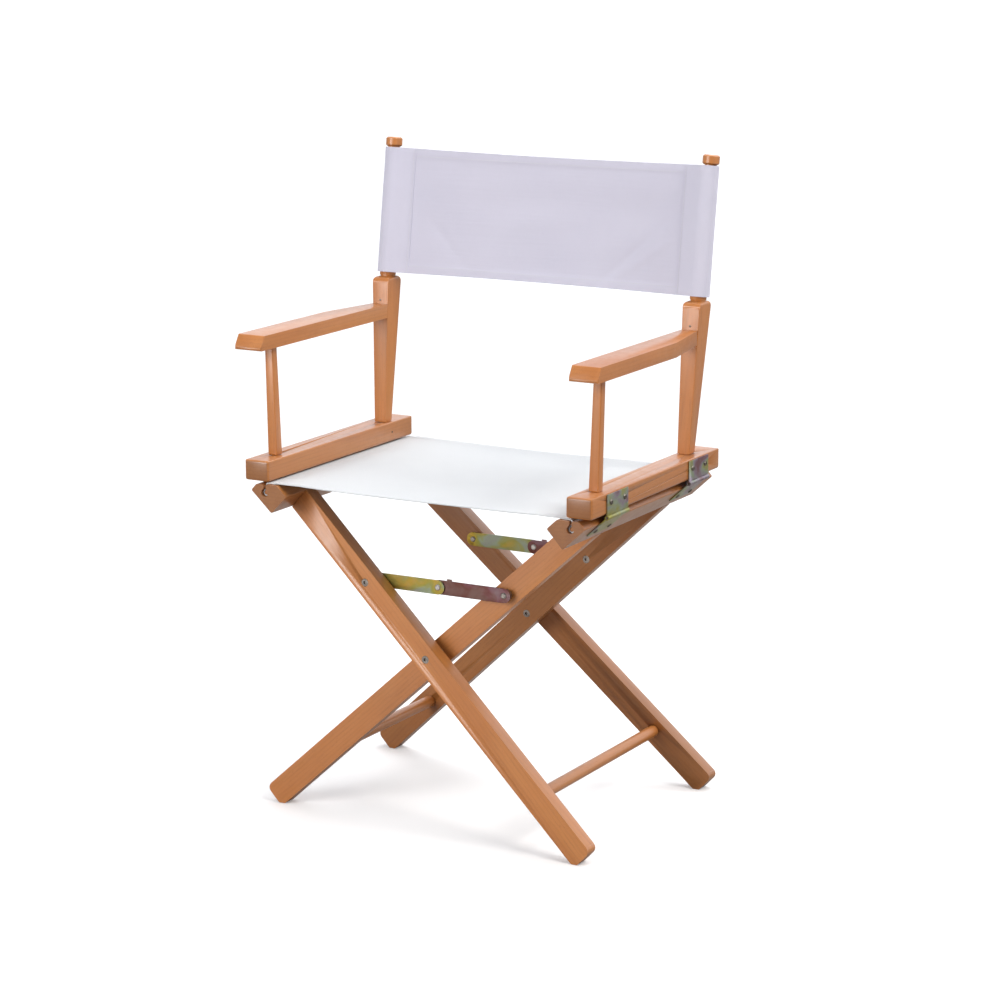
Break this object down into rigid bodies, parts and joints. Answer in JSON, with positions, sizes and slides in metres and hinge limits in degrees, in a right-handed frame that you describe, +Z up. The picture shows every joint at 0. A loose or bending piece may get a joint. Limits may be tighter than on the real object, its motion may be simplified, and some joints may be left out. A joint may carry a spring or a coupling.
{
  "type": "folding chair",
  "caption": "Wooden director's folding chair with crossed legs, armrests, steel brace links and a sling seat and back of white canvas.",
  "frame": {"origin": "on the floor, in the middle of the box round the open chair", "axes": "+Z up, the sitter faces -Y, +X to the right seen from the front"},
  "size_m": [0.524, 0.3856, 0.859],
  "materials": {
    "beech": "satin clear varnish over honey-toned beech",
    "canvas": "matte plain-weave cotton canvas, off-white",
    "zinc_plate": "yellow-passivated zinc plate, iridescent",
    "bolt_steel": "zinc-plated steel, dulled"
  },
  "bodies": {
    "outer_legs": {"outer_front_leg": "beech", "outer_rear_leg": "beech", "left_seat_batten": "beech", "outer_stretcher": "beech", "left_front_hinge_lower_leaf": "zinc_plate", "left_front_hinge_pin": "bolt_steel", "left_rear_hinge_lower_leaf": "zinc_plate", "left_rear_hinge_pin": "bolt_steel", "front_pivot_bolt": "bolt_steel", "front_pivot_spacer": "bolt_steel", "front_pivot_nut": "bolt_steel", "rear_pivot_bolt": "bolt_steel", "rear_pivot_spacer": "bolt_steel", "rear_pivot_nut": "bolt_steel", "front_left_brace_bolt": "bolt_steel", "rear_left_brace_bolt": "bolt_steel", "left_hem_rod": "beech", "seat_canvas": "canvas"},
    "inner_legs": {"inner_front_leg": "beech", "inner_rear_leg": "beech", "right_seat_batten": "beech", "inner_stretcher": "beech", "right_front_hinge_lower_leaf": "zinc_plate", "right_front_hinge_pin": "bolt_steel", "right_rear_hinge_lower_leaf": "zinc_plate", "right_rear_hinge_pin": "bolt_steel", "front_right_brace_bolt": "bolt_steel", "rear_right_brace_bolt": "bolt_steel", "right_hem_rod": "beech"},
    "left_side": {"left_arm_rail": "beech", "left_front_post": "beech", "left_back_post": "beech", "left_armrest": "beech", "left_front_hinge_upper_leaf": "zinc_plate", "left_front_hinge_screw_1": "bolt_steel", "left_front_hinge_screw_2": "bolt_steel", "left_rear_hinge_upper_leaf": "zinc_plate", "left_rear_hinge_screw_1": "bolt_steel", "left_rear_hinge_screw_2": "bolt_steel", "back_canvas": "canvas"},
    "right_side": {"right_arm_rail": "beech", "right_front_post": "beech", "right_back_post": "beech", "right_armrest": "beech", "right_front_hinge_upper_leaf": "zinc_plate", "right_front_hinge_screw_1": "bolt_steel", "right_front_hinge_screw_2": "bolt_steel", "right_rear_hinge_upper_leaf": "zinc_plate", "right_rear_hinge_screw_1": "bolt_steel", "right_rear_hinge_screw_2": "bolt_steel"},
    "front_left_brace": {"front_left_link": "zinc_plate", "front_knee_rivet_head": "bolt_steel"},
    "front_right_brace": {"front_right_link": "zinc_plate", "front_knee_rivet_tail": "bolt_steel"},
    "rear_left_brace": {"rear_left_link": "zinc_plate", "rear_knee_rivet_head": "bolt_steel"},
    "rear_right_brace": {"rear_right_link": "zinc_plate", "rear_knee_rivet_tail": "bolt_steel"}
  },
  "joints": [
    {"name": "fold", "type": "hinge", "parent": "outer_legs", "child": "inner_legs", "pos_m": [0, 0, 0.23], "axis": [0, -1, 0], "range_deg": [0, 80], "deforming": ["seat_canvas", "back_canvas"]},
    {"name": "left_side_hinge", "type": "hinge", "parent": "outer_legs", "child": "left_side", "pos_m": [-0.2541, 0, 0.44132], "axis": [0, -1, 0], "range_deg": [0, 40]},
    {"name": "right_side_hinge", "type": "hinge", "parent": "inner_legs", "child": "right_side", "pos_m": [0.2541, 0, 0.44132], "axis": [0, 1, 0], "range_deg": [0, 40]},
    {"name": "front_left_brace_hinge", "type": "hinge", "parent": "outer_legs", "child": "front_left_brace", "pos_m": [-0.09538, 0, 0.31833], "axis": [0, 1, 0], "range_deg": [0, 40.2]},
    {"name": "front_right_brace_hinge", "type": "hinge", "parent": "inner_legs", "child": "front_right_brace", "pos_m": [0.09538, 0, 0.31833], "axis": [0, -1, 0], "range_deg": [0, 40.2]},
    {"name": "rear_left_brace_hinge", "type": "hinge", "parent": "outer_legs", "child": "rear_left_brace", "pos_m": [-0.09538, 0, 0.31833], "axis": [0, 1, 0], "range_deg": [0, 40.2]},
    {"name": "rear_right_brace_hinge", "type": "hinge", "parent": "inner_legs", "child": "rear_right_brace", "pos_m": [0.09538, 0, 0.31833], "axis": [0, -1, 0], "range_deg": [0, 40.2]}
  ],
  "couplings": [
    {"joint": "left_side_hinge", "follows": "fold", "ratio": 0.5},
    {"joint": "right_side_hinge", "follows": "fold", "ratio": 0.5},
    {"joint": "front_left_brace_hinge", "follows": "fold", "ratio": 0.50209},
    {"joint": "front_right_brace_hinge", "follows": "fold", "ratio": 0.50209},
    {"joint": "rear_left_brace_hinge", "follows": "fold", "ratio": 0.50209},
    {"joint": "rear_right_brace_hinge", "follows": "fold", "ratio": 0.50209}
  ]
}
